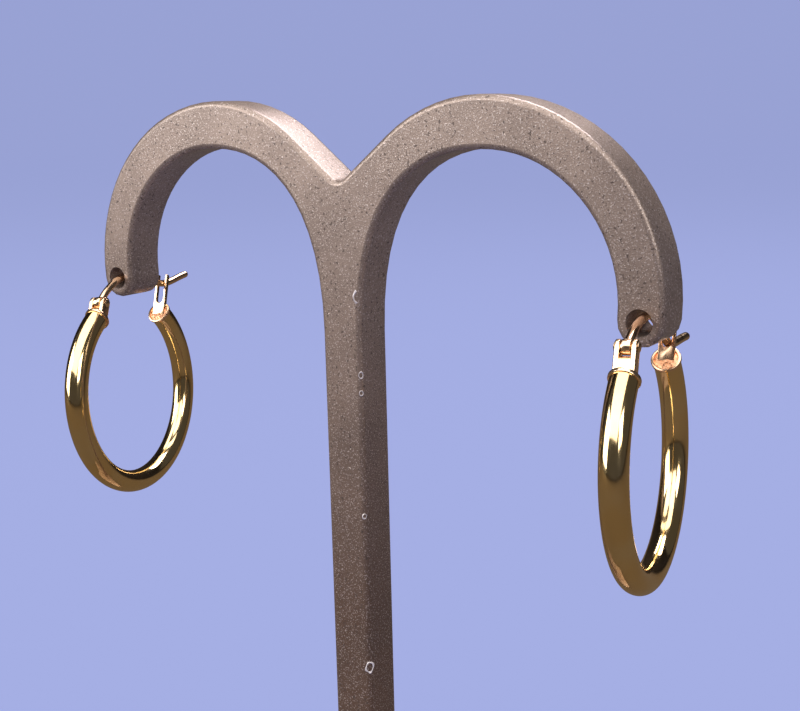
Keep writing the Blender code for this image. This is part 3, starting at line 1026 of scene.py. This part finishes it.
@dataclass
class Stand:
    """The painted stand: the CAD node's shape in its paint, metal flakes on it, and chips on its edge.

    The chips' heights and sizes, and the heights in chip_rim, are millimetres.
    """

    half_thickness: float = 2.5 * MM
    half_stem: float = 2.45 * MM
    edge_inset: float = 0.18 * MM
    flake_radius: float = 0.045 * MM
    flake_density: float = 0.4e6
    flake_seed: int = 7
    flake_floor: float = 8.0 * MM
    flake_sides: int = 6
    flake_tilt: float = 0.35
    flake_spin: float = 6.28
    flake_sizes: Range = (0.45, 1.25)
    chip_heights: Tuple[float, ...] = (91.8, 83.5, 81.6, 68.0, 50.3)
    chip_sizes: Tuple[float, ...] = (1.10, 0.60, 0.45, 0.50, 1.00)
    chip_rim: Tuple[Range, ...] = ((0.66, 0.0), (0.83, 0.08), (1.0, 0.0), (0.83, -0.05))
    chip_sides: int = 32
    chip_wobble: float = 0.45
    chip_lump: float = 0.60 * MM
    chip_stretch: float = 1.35
    chip_facing: float = math.radians(45.0)
    weld_distance: float = 0.001 * MM
    flat_angle: float = math.radians(0.5)

    def build_body(self, finishes: Finishes) -> None:
        """The CAD node's own shape, with its shading weighted so that flat faces look flat.

        Args:
            finishes: The materials.
        """
        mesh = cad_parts["stand"].data.copy()
        welded = bmesh.new()
        welded.from_mesh(mesh)
        bmesh.ops.remove_doubles(welded, verts=welded.verts, dist=self.weld_distance)
        bmesh.ops.dissolve_limit(welded, angle_limit=self.flat_angle, verts=welded.verts, edges=welded.edges)
        welded.to_mesh(mesh)
        welded.free()
        mesh.shade_smooth()
        mesh.set_sharp_from_angle(angle=SHARP_TURNED)
        source = add_object("stand_source", mesh)
        source.modifiers.new("weighted", "WEIGHTED_NORMAL").keep_sharp = True
        body = add_object("stand_body", evaluated_mesh(source))
        put(body, Matrix.Identity(4), finishes.paint, Body.ROOT, ["stand"])

    def flake_tree(self, material: bpy.types.Material) -> bpy.types.NodeTree:
        """The node group that strews tilted flakes over a surface.

        Args:
            material: The flakes' material.

        Returns:
            The node group, with inputs Density, Radius, Seed and Floor.
        """
        tree = bpy.data.node_groups.new("strew_flakes", "GeometryNodeTree")
        tree.interface.new_socket("Geometry", in_out="INPUT", socket_type="NodeSocketGeometry")
        for label, kind in (("Density", "NodeSocketFloat"), ("Radius", "NodeSocketFloat"),
                            ("Seed", "NodeSocketInt"), ("Floor", "NodeSocketFloat")):
            tree.interface.new_socket(label, in_out="INPUT", socket_type=kind)
        tree.interface.new_socket("Geometry", in_out="OUTPUT", socket_type="NodeSocketGeometry")
        new, join = tree.nodes.new, tree.links.new
        inputs, outputs = new("NodeGroupInput"), new("NodeGroupOutput")
        spread = new("GeometryNodeDistributePointsOnFaces")
        position, split = new("GeometryNodeInputPosition"), new("ShaderNodeSeparateXYZ")
        above = new("FunctionNodeCompare")
        above.data_type, above.operation = "FLOAT", "GREATER_THAN"
        join(position.outputs["Position"], split.inputs["Vector"])
        join(split.outputs["Z"], above.inputs[0])
        join(inputs.outputs["Floor"], above.inputs[1])
        join(inputs.outputs["Geometry"], spread.inputs["Mesh"])
        join(above.outputs["Result"], spread.inputs["Selection"])
        join(inputs.outputs["Density"], spread.inputs["Density"])
        join(inputs.outputs["Seed"], spread.inputs["Seed"])
        flake = new("GeometryNodeMeshCircle")
        flake.fill_type = "NGON"
        flake.inputs["Vertices"].default_value = self.flake_sides
        join(inputs.outputs["Radius"], flake.inputs["Radius"])
        tilt = new("FunctionNodeRandomValue")
        tilt.data_type = "FLOAT_VECTOR"
        tilt.inputs[0].default_value = (-self.flake_tilt, -self.flake_tilt, 0.0)
        tilt.inputs[1].default_value = (self.flake_tilt, self.flake_tilt, self.flake_spin)
        euler, turn = new("FunctionNodeEulerToRotation"), new("FunctionNodeRotateRotation")
        turn.rotation_space = "LOCAL"
        join(tilt.outputs[0], euler.inputs["Euler"])
        join(spread.outputs["Rotation"], turn.inputs["Rotation"])
        join(euler.outputs["Rotation"], turn.inputs["Rotate By"])
        size = new("FunctionNodeRandomValue")
        size.inputs[2].default_value, size.inputs[3].default_value = self.flake_sizes
        place = new("GeometryNodeInstanceOnPoints")
        join(spread.outputs["Points"], place.inputs["Points"])
        join(flake.outputs["Mesh"], place.inputs["Instance"])
        join(turn.outputs["Rotation"], place.inputs["Rotation"])
        join(size.outputs[1], place.inputs["Scale"])
        real, dress = new("GeometryNodeRealizeInstances"), new("GeometryNodeSetMaterial")
        dress.inputs["Material"].default_value = material
        join(place.outputs["Instances"], real.inputs["Geometry"])
        join(real.outputs["Geometry"], dress.inputs["Geometry"])
        join(dress.outputs["Geometry"], outputs.inputs["Geometry"])
        return tree

    def build_flakes(self, finishes: Finishes) -> None:
        """Strew the metal flakes over the stand and make them a plain mesh.

        Args:
            finishes: The materials.
        """
        source = add_object("flake_source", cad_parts["stand"].data.copy())
        modifier = source.modifiers.new("flakes", "NODES")
        modifier.node_group = self.flake_tree(finishes.flake)
        values = {"Density": self.flake_density, "Radius": self.flake_radius, "Seed": self.flake_seed,
                  "Floor": self.flake_floor}
        for item in modifier.node_group.interface.items_tree:
            if item.in_out == "INPUT" and item.name in values:
                modifier[item.identifier] = values[item.name]
        flakes = add_object("paint_flakes", evaluated_mesh(source))
        put(flakes, Matrix.Identity(4), finishes.flake, Body.ROOT)

    def build_chips(self, finishes: Finishes) -> None:
        """Small chips with pale edges down the stem's front right edge.

        Args:
            finishes: The materials.
        """
        for number, (height, size) in enumerate(zip(self.chip_heights, self.chip_sizes), 1):
            rim = [(share * size * MM / 2.0, z * MM) for share, z in self.chip_rim]
            chip = Shape.lathe(f"chip_{number}", rim, self.chip_sides, closed=True)
            for vertex in chip.data.vertices:
                lump = noise.noise(vertex.co / self.chip_lump + Vector((number, 0.0, 0.0)))
                wobble = 1.0 + self.chip_wobble * lump
                vertex.co.x *= wobble
                vertex.co.y *= self.chip_stretch * wobble
            facing = Matrix.Rotation(self.chip_facing, 4, "Z") @ STAND_UP
            spot = Vector((self.half_stem - self.edge_inset, self.edge_inset - self.half_thickness,
                           height * MM))
            put(chip, Matrix.Translation(spot) @ facing, finishes.chip, Body.ROOT)

    def build(self, finishes: Finishes) -> None:
        """Build the stand's pieces.

        Args:
            finishes: The materials.
        """
        self.build_body(finishes)
        self.build_flakes(finishes)
        self.build_chips(finishes)


@dataclass(frozen=True)
class SoftBox:
    """A square area light aimed at a point, all in metres."""

    name: str
    place: Tuple[float, float, float]
    size: float
    power: float
    colour: Colour = (1.0, 1.0, 1.0)
    aim: Tuple[float, float, float] = (0.0, 0.0, 0.085)

    def build(self) -> None:
        """Hang the light."""
        data = bpy.data.lights.new(self.name, "AREA")
        data.size, data.energy, data.color = self.size, self.power, self.colour
        light = add_object(self.name, data)
        light.location = self.place
        light.rotation_euler = (Vector(self.aim) - Vector(self.place)).to_track_quat("-Z", "Y").to_euler()


@dataclass
class Studio:
    """The pale ground with its curved backdrop, the soft lights, the dim surroundings and the camera."""

    eye: Tuple[float, float, float] = (73.21 * MM, -99.76 * MM, 111.13 * MM)
    yaw: float = math.radians(34.07)
    pitch: float = math.radians(-11.99)
    roll: float = math.radians(-1.305)
    lens: float = 53.05
    sensor: float = 36.0
    reach: float = 3.0
    curve: float = 0.6
    curve_steps: int = 24
    far: float = 20.0
    surroundings: Colour = (0.060, 0.056, 0.055)
    surroundings_strength: float = 1.0
    boxes: Tuple[SoftBox, ...] = (
        SoftBox("ceiling_box", (0.05, -0.45, 1.05), 1.50, 17.0, (1.0, 0.97, 0.95)),
        SoftBox("left_box", (-0.75, -0.75, 0.45), 0.70, 8.0, (1.0, 0.97, 0.94)),
        SoftBox("right_box", (1.05, -0.45, 0.70), 0.50, 4.5, (1.0, 0.97, 0.94)),
        SoftBox("back_box", (-0.05, 0.50, 0.80), 0.50, 6.0, (1.0, 0.94, 0.98)),
    )

    def build_ground(self, finishes: Finishes) -> None:
        """A floor that curves up into a backdrop behind the object, along the camera's view.

        Args:
            finishes: The materials.
        """
        rows = [(-self.reach, 0.0)]
        start = self.reach - self.curve
        for i in range(self.curve_steps + 1):
            angle = math.pi / 2.0 * i / self.curve_steps
            rows.append((start + self.curve * math.sin(angle), self.curve * (1.0 - math.cos(angle))))
        rows.append((self.reach, 2.0 * self.reach))
        points = [Vector((side * 2.0 * self.reach, y, z)) for y, z in rows for side in (-1.0, 1.0)]
        faces = [(2 * i, 2 * i + 1, 2 * i + 3, 2 * i + 2) for i in range(len(rows) - 1)]
        ground = Shape.from_faces("ground", points, faces)
        ground.data.transform(Matrix.Rotation(self.yaw, 4, "Z"))
        ground.data.materials.append(finishes.ground)
        ground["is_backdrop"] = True

    def build_world(self) -> None:
        """Even, dim surroundings."""
        world = bpy.data.worlds.new("surroundings")
        world.use_nodes = True
        background = world.node_tree.nodes["Background"]
        background.inputs["Color"].default_value = (*self.surroundings, 1.0)
        background.inputs["Strength"].default_value = self.surroundings_strength
        bpy.context.scene.world = world

    def build_camera(self) -> None:
        """The camera at the photograph's place."""
        forward = Vector((-math.sin(self.yaw) * math.cos(self.pitch),
                          math.cos(self.yaw) * math.cos(self.pitch), math.sin(self.pitch)))
        level = Vector((math.cos(self.yaw), math.sin(self.yaw), 0.0))
        upright = level.cross(forward)
        right = math.cos(self.roll) * level + math.sin(self.roll) * upright
        up = -math.sin(self.roll) * level + math.cos(self.roll) * upright
        data = bpy.data.cameras.new("camera")
        data.lens, data.sensor_width, data.sensor_fit = self.lens, self.sensor, "HORIZONTAL"
        data.clip_start, data.clip_end = MM, self.far
        camera = add_object("camera", data)
        axes = Matrix((right, up, -forward)).transposed().to_4x4()
        camera.matrix_world = Matrix.Translation(self.eye) @ axes
        bpy.context.scene.camera = camera

    def build(self, finishes: Finishes) -> None:
        """Set the studio up.

        Args:
            finishes: The materials.
        """
        self.build_ground(finishes)
        self.build_world()
        for box in self.boxes:
            box.build()
        self.build_camera()
        bpy.context.scene.view_settings.view_transform = "Standard"
        LOG.info("studio: %d lights", len(self.boxes))


def corners() -> List[List[float]]:
    """Measure the model's present box.

    Returns:
        Its two corners as plain lists.
    """
    return [[float(value) for value in corner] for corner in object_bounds()]


def main() -> None:
    """Build every piece."""
    logging.basicConfig(level=logging.INFO, format="%(name)s: %(message)s")
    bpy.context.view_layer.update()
    finishes = Finishes.build()
    Stand().build(finishes)
    earrings = (
        Earring("right", Body.RIGHT_WIRE, (34.130 * MM, -2.316 * MM, 79.296 * MM), turn=math.radians(-8.1),
                lean=math.radians(-2.9), swing=math.radians(5.0), lift=0.0, gap=math.radians(42.5),
                ear_rise=2.85 * MM),
        Earring("left", Body.LEFT_WIRE, (-31.711 * MM, -2.503 * MM, 78.063 * MM), turn=math.radians(-12.4),
                lean=math.radians(-3.6), swing=math.radians(6.5), lift=math.radians(9.5),
                gap=math.radians(35.5), ear_rise=1.9 * MM),
    )
    for earring in earrings:
        earring.build(finishes)
    Studio().build(finishes)


if __name__ == "__main__":
    main()
